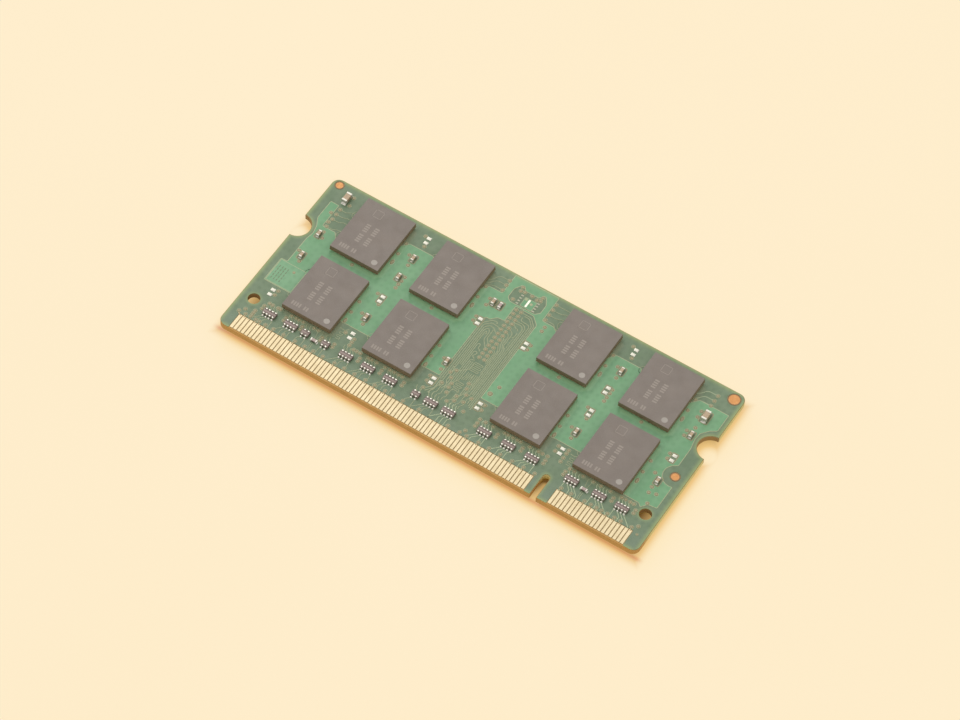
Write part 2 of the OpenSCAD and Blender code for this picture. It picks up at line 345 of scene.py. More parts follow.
class Look:
    """A procedural material. Its textures lie in the frame, and their sizes are in millimetres."""

    def __init__(self, name, roughness, metallic=0.0, specular=0.5):
        """Starts a material with its constant values on the shader."""
        self.material = bpy.data.materials.new(name)
        self.material.use_nodes = True
        self.tree = self.material.node_tree
        self.shader = self.tree.nodes["Principled BSDF"]
        self.shader.inputs["Roughness"].default_value = roughness
        self.shader.inputs["Metallic"].default_value = metallic
        self.shader.inputs["Specular IOR Level"].default_value = specular
        self.place = self.node("TexCoord").outputs["Object"]

    def node(self, kind, inputs=None, links=None, **settings):
        """Adds a node with its settings, its input values and its linked inputs."""
        made = self.tree.nodes.new("ShaderNode" + kind)
        for name, value in settings.items():
            setattr(made, name, value)
        for name, value in (inputs or {}).items():
            made.inputs[name].default_value = value
        for name, socket in (links or {}).items():
            self.tree.links.new(socket, made.inputs[name])
        return made

    def scaled(self, size, stretch=(1, 1, 1)):
        """The place in the frame, measured in steps of a size, stretched along each axis."""
        scale = [1 / (MM * size * s) for s in stretch]
        return self.node("Mapping", {"Scale": scale}, {"Vector": self.place}).outputs["Vector"]

    def noise(self, size, detail=2.0, stretch=(1, 1, 1)):
        """A cloudy value with clouds of about a size."""
        links = {"Vector": self.scaled(size, stretch)}
        return self.node("TexNoise", {"Scale": 1.0, "Detail": detail}, links).outputs[0]

    def grains(self, size):
        """Distance to the nearest grain's middle."""
        links = {"Vector": self.scaled(size)}
        return self.node("TexVoronoi", {"Scale": 1.0}, links).outputs["Distance"]

    def lines(self, size, axis, distortion):
        """Soft parallel bands, one after another along an axis."""
        links = {"Vector": self.scaled(size)}
        inputs = {"Scale": WAVE_SCALE, "Distortion": distortion, "Detail": 1.0}
        return self.node("TexWave", inputs, links, bands_direction=axis).outputs["Fac"]

    def ramp(self, factor, dark, light, low=0.3, high=0.7):
        """A colour from dark to light as the factor goes from low to high."""
        made = self.node("ValToRGB", None, {"Fac": factor})
        ends = made.color_ramp.elements
        ends[0].position, ends[0].color = low, (*dark, 1)
        ends[1].position, ends[1].color = high, (*light, 1)
        return made.outputs["Color"]

    def spread(self, factor, low, high, start=0.3, end=0.7):
        """A value from low to high as the factor goes from start to end."""
        inputs = {"From Min": start, "From Max": end, "To Min": low, "To Max": high}
        return self.node("MapRange", inputs, {"Value": factor}).outputs["Result"]

    def math(self, operation, first, second):
        """Two sockets, or a socket and a number, put together."""
        made = self.node("Math", operation=operation)
        for index, value in enumerate((first, second)):
            if isinstance(value, (int, float)):
                made.inputs[index].default_value = value
            else:
                self.tree.links.new(value, made.inputs[index])
        return made.outputs["Value"]

    def away(self, value, middle=0.0):
        """How far a value lies from a middle."""
        return self.math("ABSOLUTE", self.math("SUBTRACT", value, middle), 0.0)

    def along(self, axis):
        """The distance from the module's middle along an axis, in millimetres."""
        return self.node("SeparateXYZ", None, {"Vector": self.scaled(1)}).outputs[axis]

    def plan(self):
        """Distance from the module's middle in x, without its sign, and in y with it, in millimetres."""
        return self.away(self.along("X")), self.along("Y")

    def reach(self, x, y, centre, radius):
        """Distance from the rim of a circle."""
        point = self.node("CombineXYZ", None, {"X": x, "Y": y}).outputs["Vector"]
        made = self.node("VectorMath", None, {0: point}, operation="DISTANCE")
        made.inputs[1].default_value = (*centre, 0)
        return self.math("SUBTRACT", made.outputs["Value"], radius)

    def from_ends(self):
        """Distance in from the board's four sides, negative outside."""
        in_x, in_y = (self.math("SUBTRACT", side / 2, self.away(self.along(axis)))
                      for side, axis in ((BOARD_L, "X"), (BOARD_W, "Y")))
        return self.math("MINIMUM", in_x, in_y)

    def from_key_slot(self, radius):
        """Distance from a band about the middle line of the key slot."""
        above = self.math("MAXIMUM", self.math("SUBTRACT", self.along("Y"), KEY_END[1]), 0.0)
        return self.reach(self.along("X"), above, (KEY_END[0], 0), radius)

    def from_edges(self):
        """Distance in from the board's sides, and a little more than that from its notches, holes and slot."""
        across, y = self.plan()
        near = self.from_ends()
        for centre, radius in ((NOTCH, 1.9), (TOOLING_HOLE, 0.6)):
            near = self.math("MINIMUM", near, self.reach(across, y, centre, radius))
        return self.math("MINIMUM", near, self.from_key_slot(0.3))

    def painted_light_by_packages(self, base, coat, gains=(1.9, 1.5, 1.6)):
        """The base colour, paler and browner at the feet of the packages: painted light over the coat, where
        the packages' shade falls.
        """
        column = self.away(self.away(self.along("X"), PAINTED_LIGHT_DRIFT), PACKAGE_MIDDLE[0])
        column = self.away(column, PACKAGE_STEP[0])
        row = self.away(self.away(self.along("Y"), PACKAGE_MIDDLE[1] - PAINTED_LIGHT_DRIFT), PACKAGE_STEP[1])
        column, row = (self.math("SUBTRACT", value, half) for value, half in zip((column, row), PACKAGE_HALF))
        corner = self.math("MAXIMUM", self.math("ADD", self.math("MINIMUM", column, row), 0.5), 0.0)
        outside = self.math("ADD", self.math("MAXIMUM", column, row), corner)
        # Painted light: the coat lifted towards a paler colour where the packages cast shade
        painted_light = tuple(min(1.0, c * gain) for c, gain in zip(coat, gains))
        return self.over(self.spread(outside, 1.0, 0.0, -0.25, 0.5), base, painted_light)

    def on_sides(self):
        """1 where a surface stands upright and 0 where it lies flat."""
        normal = self.node("NewGeometry").outputs["True Normal"]
        up = self.node("SeparateXYZ", None, {"Vector": normal}).outputs["Z"]
        return self.spread(self.away(up), 1.0, 0.0)

    def over(self, factor, lower, upper):
        """The upper colour over the lower one. Either may be a socket or a plain colour."""
        made = self.node("Mix", data_type="RGBA")
        self.tree.links.new(factor, made.inputs["Factor"])
        for name, value in (("A", lower), ("B", upper)):
            socket = [s for s in made.inputs if s.name == name and s.type == "RGBA"][0]
            if isinstance(value, tuple):
                socket.default_value = (*value, 1)
            else:
                self.tree.links.new(value, socket)
        return [s for s in made.outputs if s.type == "RGBA"][0]

    def colour(self, socket):
        """Gives the shader its colour."""
        self.tree.links.new(socket, self.shader.inputs["Base Color"])

    def rough(self, socket):
        """Gives the shader its roughness."""
        self.tree.links.new(socket, self.shader.inputs["Roughness"])

    def finished(self, height, depth):
        """The material, with bumps from a height texture, depth in millimetres."""
        inputs = {"Distance": depth * MM, "Strength": 1.0}
        made = self.node("Bump", inputs, {"Height": height})
        self.tree.links.new(made.outputs["Normal"], self.shader.inputs["Normal"])
        return self.material


def mask_look(name, dark, light, roughness, weave):
    """Solder mask: a cloudy green coat, paler by the edges and the contacts, with an orange-peel surface."""
    look = Look(name, roughness)
    dark, light = srgb(*dark), srgb(*light)
    base = look.ramp(look.noise(5.0, 3.0), dark, light)
    cloth = look.math("MULTIPLY", look.lines(0.5, "X", 0.6), look.lines(0.55, "Y", 0.6))
    shade = tuple(c * (1 - weave) for c in dark)
    base = look.over(look.spread(cloth, 0.0, 0.5, 0.1, 0.9), base, shade)
    base = look.over(look.spread(look.along("Y"), 0.5, 0.0, -12.8, -10.5), base, BY_CONTACTS)
    # Painted light: paler where the packages' shade falls at their feet
    base = look.painted_light_by_packages(base, light)
    glow = look.math("POWER", look.spread(look.from_edges(), 1.0, 0.0, 0.0, 0.85), 1.7)
    look.colour(look.over(look.math("MULTIPLY", glow, 0.85), base, EDGE_GLOW))
    look.rough(look.spread(look.noise(1.2, 3.0), roughness - 0.08, roughness + 0.1))
    return look.finished(look.math("ADD", look.noise(0.35), look.math("MULTIPLY", cloth, 0.5)), 0.004)


def laminate_look():
    """Sawn glass-epoxy: ochre at the contact edge, paler at the others, and painted shade, brown, on the walls
    of the holes and notches.
    """
    look = Look("laminate", 0.65, specular=0.3)
    across, y = look.plan()
    base = look.over(look.spread(y, 0.0, 1.0, -13.0, -11.0), srgb(178, 134, 70), srgb(204, 196, 132))
    plies = look.lines(0.2, "Z", 1.0)
    base = look.over(look.spread(plies, 0.0, 0.2, 0.4, 0.9), base, srgb(198, 158, 90))
    fibres = look.noise(0.12, 3.0, (4, 4, 0.6))
    base = look.over(look.spread(fibres, 0.0, 0.35, 0.52, 0.75), base, srgb(208, 178, 114))
    burnt = look.noise(1.8, 3.0, (1, 1, 4))
    base = look.over(look.spread(burnt, 0.0, 0.25, 0.55, 0.75), base, srgb(146, 106, 54))
    # Painted shade: the walls of the notches and tooling holes darkened brown
    painted_shade_in_cutouts = look.math("MINIMUM", look.reach(across, y, NOTCH, 2.0), look.reach(across, y, TOOLING_HOLE, 0.9))
    base = look.over(look.spread(painted_shade_in_cutouts, 0.9, 0.0, 0.1, 0.2), base, srgb(140, 106, 62))
    flat = look.math("SUBTRACT", 1.0, look.on_sides())
    opened = look.math("MULTIPLY", flat, look.spread(y, 0.0, 0.9, -14.76, -14.7))
    look.colour(look.over(opened, base, srgb(152, 132, 92)))
    return look.finished(look.math("ADD", fibres, plies), 0.01)


def gold_look():
    """Gold plating, with fine, duller scratches along the way into the socket."""
    look = Look("gold_plating", 0.45, metallic=0.7)
    scratches = look.noise(0.05, 3.0, (1, 22, 1))
    base = look.ramp(look.noise(1.4), srgb(203, 187, 151), srgb(212, 198, 164))
    worn = look.spread(scratches, 0.0, 0.35, 0.56, 0.72)
    look.colour(look.over(worn, base, srgb(195, 178, 141)))
    look.rough(look.spread(scratches, 0.42, 0.54))
    return look.finished(scratches, 0.002)


def copper_look():
    """Bare copper under a thin preservative, slightly clouded."""
    look = Look("bare_copper", 0.5, metallic=0.3)
    look.colour(look.ramp(look.noise(0.5, 3.0), srgb(194, 135, 76), srgb(210, 152, 92)))
    look.rough(look.spread(look.noise(0.2), 0.42, 0.6))
    return look.finished(look.noise(0.08), 0.003)


def solder_look():
    """Reflowed tin solder: bright, with a finely rippled skin and a few dull flecks."""
    look = Look("solder", 0.3, metallic=0.85)
    flecks = look.noise(0.12, 3.0)
    look.colour(look.ramp(flecks, srgb(186, 184, 172), srgb(232, 230, 220), 0.35, 0.6))
    look.rough(look.spread(flecks, 0.45, 0.25))
    return look.finished(look.noise(0.1), 0.004)


def mould_look():
    """Moulding compound: a fine sandy grain with paler specks and faint smears, and sawn sides painted
    browner, partly their sawn finish and partly painted shade.
    """
    look = Look("mould_compound", 0.5, specular=0.5)
    grain = look.noise(0.06, 4.0)
    base = look.ramp(grain, srgb(106, 97, 90), srgb(127, 118, 110))
    specks = look.spread(look.grains(0.16), 0.55, 0.0, 0.05, 0.22)
    base = look.over(specks, base, srgb(150, 140, 131))
    cloud = look.noise(3.5, 3.0)
    base = look.over(look.spread(cloud, 0.0, 0.35, 0.45, 0.8), base, srgb(134, 123, 114))
    # The upright sides: their sawn finish, with painted shade in their browner colour
    sawn_sides_with_shade = look.ramp(look.noise(0.12, 3.0, (2, 2, 0.3)), srgb(114, 98, 76), srgb(134, 118, 94))
    look.colour(look.over(look.on_sides(), base, sawn_sides_with_shade))
    look.rough(look.spread(look.noise(1.5, 3.0), 0.42, 0.6))
    return look.finished(look.math("ADD", grain, look.noise(0.2)), 0.008)


def substrate_look():
    """The package's thin laminate: dark olive, sawn, with fine plies."""
    look = Look("package_substrate", 0.5)
    plies = look.lines(0.07, "Z", 0.8)
    base = look.ramp(plies, srgb(122, 100, 70), srgb(150, 128, 92), 0.2, 0.8)
    fibres = look.noise(0.07, 2.0, (4, 4, 0.5))
    look.colour(look.over(look.spread(fibres, 0.0, 0.5, 0.55, 0.75), base, srgb(158, 138, 102)))
    return look.finished(fibres, 0.008)


def ceramic_look(name, dark, light, roughness):
    """Fired ceramic with a fine grain and chalky flecks."""
    look = Look(name, roughness)
    dark, light = srgb(*dark), srgb(*light)
    base = look.ramp(look.noise(0.15, 3.0), dark, light)
    flecks = look.spread(look.noise(0.05), 0.0, 0.4, 0.58, 0.75)
    look.colour(look.over(flecks, base, tuple(min(1, c * 1.5) for c in light)))
    return look.finished(look.noise(0.06, 3.0), 0.005)


def plain_grain_look(name, dark, light, roughness, size, metallic=0.0):
    """A thin coat or print with a small grain."""
    look = Look(name, roughness, metallic)
    look.colour(look.ramp(look.noise(size, 3.0), srgb(*dark), srgb(*light)))
    return look.finished(look.noise(size / 3), 0.003)


def footprint_look():
    """Levelled tin on the empty footprint: dull on the small lands and full on the centre land, with a painted
    highlight that makes its middle bright.
    """
    look = Look("levelled_tin", 0.4, metallic=0.5)
    dull = look.ramp(look.noise(0.2, 3.0), srgb(136, 138, 120), srgb(158, 160, 140))
    middle = look.reach(look.along("X"), look.along("Y"), FOOTPRINT_CENTRE, 0.0)
    # Painted highlight: the middle of the centre land painted bright
    centre = look.spread(middle, 1.0, 0.0, 0.6, 0.9)
    look.colour(look.over(centre, dull, srgb(224, 222, 206)))
    return look.finished(look.noise(0.1), 0.004)


def raised_mask_look(name, dark, light, roughness):
    """Solder mask over a narrow raised feature, with painted light at the feet of the packages, where their
    shade falls.
    """
    look = Look(name, roughness)
    dark, light = srgb(*dark), srgb(*light)
    look.colour(look.painted_light_by_packages(look.ramp(look.noise(0.2, 3.0), dark, light), light, (1.3, 1.35, 1.4)))
    return look.finished(look.noise(0.07), 0.003)


def floor_look():
    """Thin matt card that glows as painted light, with painted shadow: deeper orange close to the module and
    brown under it.
    """
    look = Look("pale_card", 0.9, specular=0.1)
    look.colour(look.ramp(look.noise(60), FLOOR_DARK, FLOOR_LIGHT))
    across, y = look.plan()
    # Painted shadow in the glow: deeper orange close to the module, deepest along its front edge, brown under
    # it, lighter under the key slot
    inside = look.math("MINIMUM", look.from_ends(), look.reach(across, y, NOTCH, 1.8))
    through_slot = look.spread(look.from_key_slot(0.3), 0.45, 1.0, 0.0, 0.7)
    inside = look.math("MINIMUM", inside, look.math("MULTIPLY", inside, through_slot))
    close = look.math("POWER", look.spread(inside, 0.0, 1.0, -1.3, 0.0), 2.0)
    glow = look.over(close, FLOOR_GLOW, FLOOR_PAINTED_SHADOW_CLOSE)
    shadow_by_front = look.spread(look.away(y, 0.5 - BOARD_W / 2), 0.8, 0.0, 0.0, 0.5)
    glow = look.over(look.math("MULTIPLY", close, shadow_by_front), glow, FLOOR_PAINTED_SHADOW_FRONT)
    glow = look.over(look.spread(inside, 0.0, 1.0, 0.0, 3.2), glow, FLOOR_PAINTED_SHADOW_UNDER)
    look.tree.links.new(glow, look.shader.inputs["Emission Color"])
    look.shader.inputs["Emission Strength"].default_value = 1.0
    return look.finished(look.noise(0.5, 3.0), 0.01)


MASK = mask_look("solder_mask", (92, 115, 86), (106, 127, 98), 0.42, 0.1)
MASK_ON_COPPER = mask_look("solder_mask_on_copper", (97, 147, 105), (110, 159, 116), 0.4, 0.08)
MASK_ON_PATCH = mask_look("solder_mask_on_patch", (104, 152, 112), (118, 164, 124), 0.4, 0.08)
MASK_EDGE = raised_mask_look("solder_mask_edge", (152, 160, 124), (166, 171, 134), 0.45)
MASK_CLEARING = raised_mask_look("solder_mask_clearing", (92, 110, 80), (104, 121, 90), 0.42)
CLEARING_EDGE = raised_mask_look("clearing_edge", (134, 130, 96), (146, 142, 106), 0.45)
MASK_ON_TRACE = raised_mask_look("solder_mask_on_trace", (130, 142, 108), (145, 153, 118), 0.4)
MASK_ON_FAN = raised_mask_look("solder_mask_on_fan", (146, 160, 126), (160, 174, 138), 0.4)
MASK_ON_NECK = raised_mask_look("solder_mask_on_neck", (166, 140, 98), (184, 158, 112), 0.4)
VIA_RIM = raised_mask_look("via_rim", (82, 92, 66), (94, 103, 75), 0.45)
VIA_RING = raised_mask_look("via_ring", (140, 130, 96), (158, 146, 110), 0.45)
VIA_MIDDLE = raised_mask_look("via_middle", (140, 142, 112), (158, 158, 126), 0.5)
# Bare board in the mask's openings, darkened with painted shade of the opening's edge
OPENING_WITH_SHADE = plain_grain_look("mask_opening_with_shade", (120, 94, 62), (138, 111, 76), 0.5, 0.15)
PRINT = plain_grain_look("package_print", (138, 129, 121), (152, 143, 134), 0.6, 0.1)
PIN_MARK = plain_grain_look("pin_mark", (146, 140, 132), (158, 152, 144), 0.35, 0.1)
LAMINATE = laminate_look()
GOLD = gold_look()
COPPER = copper_look()
SOLDER = solder_look()
TIN = plain_grain_look("dull_tin", (192, 189, 178), (218, 215, 205), 0.45, 0.15, 0.5)
TINNED_LAND = plain_grain_look("tinned_land", (188, 188, 175), (211, 209, 197), 0.4, 0.2, 0.55)
LEVELLED_TIN = footprint_look()
MOULD = mould_look()
SUBSTRATE = substrate_look()
RESISTOR = ceramic_look("resistor_ceramic", (108, 96, 88), (126, 112, 104), 0.5)
# A dark band painted as the reflection in the glaze's curve
GLAZE_DARK_REFLECTION = ceramic_look("overglaze_painted_reflection", (94, 80, 75), (110, 95, 88), 0.4)
GLAZE_MAUVE = ceramic_look("overglaze_mauve", (132, 116, 110), (149, 131, 125), 0.4)
GLAZE_PALE = ceramic_look("overglaze_pale", (160, 141, 136), (178, 158, 152), 0.4)
CAPACITOR = ceramic_look("capacitor_ceramic", (160, 139, 112), (184, 162, 134), 0.4)
VIA_LOOKS = [VIA_RIM, VIA_RING, VIA_MIDDLE, MASK_EDGE]
TRACE_LOOKS = [MASK_ON_TRACE, MASK_ON_NECK, MASK_ON_FAN]

FRONT = Face("front", 1)
BACK = Face("back", -1)


# ---- the CAD nodes: softened edges and materials

def soften(node, width, segments):
    """Rounds a CAD node's sharp edges, without touching its mesh."""
    weld = node.modifiers.new("weld", "WELD")
    weld.merge_threshold = 1e-6
    bevel = node.modifiers.new("bevel", "BEVEL")
    bevel.width = width * MM
    bevel.segments = segments
    bevel.limit_method = "ANGLE"
    bevel.angle_limit = math.radians(35)
    normals = node.modifiers.new("normals", "WEIGHTED_NORMAL")
    normals.keep_sharp = True


def dress(name, material, width, segments=2):
    """Gives a CAD node its material, and its edges a small radius in millimetres."""
    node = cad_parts[name]
    node.material_slots[0].material = material
    soften(node, width, segments)


def dress_cad():
    """Gives every CAD node its material and softens its edges."""
    dress("circuit_board", LAMINATE, 0.03)
    dress("identity_chip_case", MOULD, 0.05)
    dress("identity_chip_terminals", SOLDER, 0.03)
    dress("front_sensor_footprint", LEVELLED_TIN, 0.01)
    finishes = [
        ("solder_mask", MASK, 0.012), ("contacts", GOLD, 0.012), ("fiducials", COPPER, 0.01),
        ("array_bodies", RESISTOR, 0.02), ("array_terminals", SOLDER, 0.04, 3),
        ("resistor_bodies", RESISTOR, 0.02), ("resistor_terminals", TIN, 0.05, 3),
        ("capacitor_bodies", CAPACITOR, 0.04, 3), ("capacitor_terminals", TIN, 0.06, 3),
        ("bare_lands", TINNED_LAND, 0.01)
    ]
    for place in range(1, 9):
        finishes.append((f"memory_case_{place}", MOULD, 0.045, 3))
        finishes.append((f"memory_substrate_{place}", SUBSTRATE, 0.01))
    for side in ("front", "back"):
        for kind, *finish in finishes:
            dress(f"{side}_{kind}", *finish)


# ---- copper under the mask

# The pour of the upper face, anticlockwise. Between x 30.4 and 37.05 the routing block bites into it from
# below, and a slit leads to the clearing round the empty footprint.
FRONT_POUR = [
    (1.35, 9.5), (30.4, 9.5), (30.4, 20.4), (30.5, 21.3), (31.2, 21.3), (31.9, 22.1), (33, 22.2),
    (33, 25.15), (34, 25.15), (34, 25.5), (31.8, 25.5), (31.25, 26), (31.25, 27.6), (31.9, 28.7),
    (32.3, 28.7), (32.7, 28.1), (35, 28.1), (35.3, 28.8), (35.7, 28.8), (36.4, 27.6), (36.4, 26.1),
    (35.8, 25.5), (34.05, 25.5), (34.05, 25.1), (35.9, 25.1), (37.05, 24), (37.05, 9.5), (57, 9.5),
    (57, 7.1), (63.8, 7), (64.3, 6.5), (65, 7.4), (66.35, 7.6), (66.35, 11.6),
    *arc(65.8, 13.35, 1.75, 290, 120),
    (65.3, 15.1), (65.3, 18.4), (65, 20), (65.1, 21.2), (66, 22.3), (66.9, 22.9), (66.9, 26),
    (62.3, 26), (61.2, 24.8), (53.6, 24.8), (52.9, 26), (48.9, 26), (48, 24.8), (40, 24.6),
    (39.2, 25.2), (37.35, 25.2), (37.35, 29.75), (30.15, 29.75), (30.15, 26.1), (28.1, 26.1), (27.2, 25),
    (19.6, 25), (18.9, 26), (15, 26), (14.1, 25), (8, 25), (8, 20.4), (6.2, 20.4),
    (5.2, 21.8), (3.1, 21.8), (3.1, 26), (1.65, 26), (1.65, 22.6), (2.35, 21.2), (2.6, 20),
    (2.35, 18.6), (2.35, 13.9), (1.35, 13.9)
]


def front_pours():
    """The pour of the upper face, a lighter patch over it and the island inside the empty footprint."""
    pours = Piece(FRONT, "copper_pours", [MASK_ON_COPPER, MASK_EDGE, MASK_ON_PATCH, MASK_CLEARING])
    pours.slab(rounded(FRONT_POUR, 0.15, steps=2), POUR_TOP, 0.09, side=1)
    island = rounded([(33.3, 25.6), (35.2, 25.6), (35.2, 27.3), (33.3, 27.3)], 0.1)
    pours.slab(island, POUR_TOP, 0.07, side=1)
    patch = rounded([(1.5, 9.65), (5.75, 9.65), (5.75, 13.75), (1.5, 13.75)], 0.2)
    pours.slab(patch, POUR_TOP + 0.006, 0.07, POUR_TOP - 0.01, look=2, side=1)
    for column in range(4):
        for row in range(5):
            x, y = 2.0 + 0.45 * column, 10.4 + 0.55 * row
            pours.bar(x, y, 0.13, 0.4, POUR_TOP + 0.01, base=POUR_TOP, look=3)
    for x, y in ((33.6, 27.0), (34.6, 26.6)):
        pours.turned(x, y, [(0.24, SUNK), (0.22, POUR_TOP + 0.004), (0.1, POUR_TOP + 0.006)], (1, 1, 1))
    pours.done(5)


# Vias of the upper face: the x of those that stand in rows, and the (x, y) of the others
ROW_ABOVE_ARRAYS = [
    4.4, 4.9, 5.8, 6.2, 8.1, 8.8, 9.3, 10, 11.8, 12.5, 18.3, 18.8, 19.4, 20.8, 21.3, 22.1, 23.5, 24.3, 25,
    25.7, 26.3, 38.9, 39.8, 41, 42.9, 43.4, 44.2, 44.9, 45.4, 46.9, 48.3, 48.9, 49.7, 53.3, 54, 55.4, 57,
    58.2, 59.7, 61.5, 62.1, 62.8, 63.4
]
ROW_BESIDE_ARRAYS = [4, 7.6, 10.3, 13.6, 15.6, 19.8, 23.4, 27, 38.9, 42.2, 46.2, 49.8, 53, 60.6, 64.1]
ROW_ABOVE_CONTACTS = [
    1.5, 2.6, 3.4, 4.3, 4.9, 5.9, 7.2, 8.9, 10.8, 12.4, 13.8, 15.4, 17.3, 18.9, 20.6, 22.4, 23.9, 25.6, 26.9,
    28.5, 31.1, 35.8, 37.7, 38.8, 40.7, 42.4, 44.2, 46.1, 47.9, 49.7, 53.9, 55.5, 57.6, 58.6, 59.5, 60.3,
    61.2, 62.3, 63.3, 65
]
ROUTING_VIAS = [
    (31.9, 11.5), (31.35, 10.8), (31.9, 10.1), (32.5, 9.3), (32.5, 8.55), (32.7, 7.7), (31.3, 8.7),
    (29.6, 6.6), (33.5, 6.5), (34.5, 10.6), (34.7, 9.7), (35.2, 8.8), (36.1, 8.7), (34.2, 7.9), (35.5, 7.6),
    (34.3, 7.1), (36.3, 6.3)
]
VIAS_BY_LANDS = [
    (4.2, 8.9), (4.15, 8.1), (4.25, 12.75), (2.8, 24.3), (4.3, 26.75), (4.1, 28.2), (3.8, 20.9), (4.2, 19.9),
    (2.7, 16.35), (3.75, 14.8), (16.1, 28.3), (16.9, 26.7), (15.95, 24.3), (16.75, 22.7), (17.5, 20.7),
    (17.45, 19.9), (17.4, 19.2), (17.4, 18.5), (15.9, 16.3), (17, 14.8), (15.9, 12.3), (17, 10.8),
    (15.8, 8.3), (17.4, 8), (17.4, 7.4), (17.4, 6.8), (29.3, 24.3), (29.4, 23.1), (29.4, 12.3), (30, 10.5),
    (29.35, 8.8), (29.4, 7.85), (29.3, 20.7), (29.3, 19.9), (38.2, 24.4), (38.2, 23.6), (38.2, 20.7),
    (38.15, 19.85), (38.3, 12.4), (38.25, 8.8), (38.25, 7.85), (50.1, 28.5), (50.9, 26.7), (50.05, 24.4),
    (50.8, 22.7), (51.4, 20.7), (51.4, 20), (51.4, 19.2), (51.4, 18.5), (50.1, 16.4), (50.9, 14.7),
    (49.95, 12.4), (50.8, 10.8), (50.1, 8.8), (50.1, 7.85), (51.6, 8.9), (51.6, 8.3), (51.6, 7.5),
    (51.6, 6.8), (63.4, 24.5), (63.4, 23.4), (63.3, 20.7), (63.4, 19.8), (64.05, 21.7), (63.3, 16.2),
    (63.4, 15.3), (63.2, 12.4), (64, 10.2), (64.1, 9.2), (65.1, 9.5), (64.85, 7.6)
]
VIAS_BY_FOOTPRINT = [
    (32.15, 28.5), (32.2, 27.8), (32.8, 27.9), (34, 27.9), (34.9, 27.7), (35.4, 28.4), (35.4, 27.8), (32, 26)
]


def package_middles(face):
    """The middles of a face's memory packages."""
    return [face.solids(f"memory_case_{i}")[0][0] for i in range(1, 9)]


def clearings(face):
    """The clearing in the pour round each pair of lands, with the pour's edge round it."""
    piece = Piece(face, "clearings", [MASK_CLEARING, CLEARING_EDGE])
    pair_reach, edge = 2.2, 0.12
    groups = [(face.solids("bare_lands"), 0.22), (face.solids("resistor_terminals"), 0.32),
              (face.solids("capacitor_terminals"), 0.32)]
    for solids, margin in groups:
        pairs = {}
        for middle, size in solids:
            mates = [k for k in pairs if (Vector(k) - middle.xy).length < pair_reach]
            pairs.setdefault(mates[0] if mates else tuple(middle.xy), []).append((middle, size))
        for pair in pairs.values():
            low = [min(middle[i] - size[i] / 2 for middle, size in pair) - margin for i in (0, 1)]
            high = [max(middle[i] + size[i] / 2 for middle, size in pair) + margin for i in (0, 1)]
            in_pour = 9.5 < low[1] < 25 or 28 < low[0] < 37
            for inset, look in ((0, 1), (edge, 0)) if in_pour else ():
                a, b, c, d = low[0] + inset, low[1] + inset, high[0] - inset, high[1] - inset
                outline = rounded([(a, b), (c, b), (c, d), (a, d)], 0.25 - inset, steps=3)
                piece.slab(outline, POUR_TOP + 0.003 + 0.03 * inset, 0.01, look=look)
    piece.done(5)


def fiducial_rings(face):
    """The mask's opening round each fiducial, where the bare board shows as a thin brown ring, darkened with
    painted shade of the opening's edge.
    """
    piece = Piece(face, "fiducial_rings", [OPENING_WITH_SHADE])
    for middle, size in face.solids("fiducials"):
        inner = size.x / 2 + 0.005
        profile = [(inner + 0.14, SUNK), (inner + 0.12, 0.004), (inner, 0.004), (inner, SUNK)]
        piece.turned(middle.x, middle.y, profile, (0, 0, 0, 0), sides=32, hollow=True)
    piece.done(20)


def via(piece, x, y, size=1.0, stretch=1.0):
    """A via closed by the mask: the pour's edge, a dark clearing, the copper ring and a dimple."""
    profile = ((0.34, SUNK), (0.33, 0.0275), (0.27, 0.0285), (0.22, 0.03), (0.2, 0.045), (0.1, 0.046),
               (0.08, 0.036))
    scaled = [(radius * size, height) for radius, height in profile]
    piece.turned(x, y, scaled, (3, 3, 0, 1, 1, 2, 2), stretch=stretch)


def front_vias():
    """The vias of the upper face: rows, columns, loose ones and a few beside each package."""
    piece = Piece(FRONT, "vias", VIA_LOOKS)
    places = [(x, VIAS_BY_ARRAYS) for x in ROW_ABOVE_ARRAYS]
    places += [(x, y) for x in ROW_BESIDE_ARRAYS for y in (5.22, 5.78)]
    places += [(x, VIAS_BY_CONTACTS) for x in ROW_ABOVE_CONTACTS]
    places += [(2.1, 3.9), (38.2, 3.85), (65.7, 3.8)]
    places += [(3.4, y) for y in (3.6, 4.0, 4.4)]
    places += ROUTING_VIAS + VIAS_BY_LANDS + VIAS_BY_FOOTPRINT
    places += [(x, 15.1 + 0.8 * k) for x in (33.35, 34.15) for k in range(13)]
    places += [(3.4, 22.75)] + [(3.6, y) for y in (25.45, 24.45, 23.45, 21.95)]
    places += [(37.6, y) for y in (28.5, 27.5, 26.5, 25.5)] + [(64, y) for y in (27.95, 26.95, 26)]
    places += [(30, y) for y in (28.4, 27.5, 26.5)]
    for x, y in places:
        via(piece, x, y)
    via(piece, 37.8, 10.8, 1.3)
    via(piece, 66.2, 2.6, 0.7)
    for middle in package_middles(FRONT):
        via(piece, middle.x + 4.3, middle.y + 1.95)
        via(piece, middle.x + 4.3, middle.y - 0.15)
        via(piece, middle.x + 4.4, middle.y - 1.8, 0.9, 1.8)
        if middle.y > BOARD_W / 2:
            via(piece, middle.x, middle.y - 5.35)
    piece.done()


def contact_xs(face):
    """The x of each contact of a face."""
    return [middle.x for middle, _ in face.solids("contacts")]


def array_feet(face):
    """(x, near y, far y) of each terminal pair of the arrays on a face."""
    ends = {}
    for middle, size in face.solids("array_terminals"):
        ends.setdefault(round(middle.x, 2), []).extend((middle.y - size.y / 2, middle.y + size.y / 2))
    return [(x, min(ys), max(ys)) for x, ys in sorted(ends.items())]


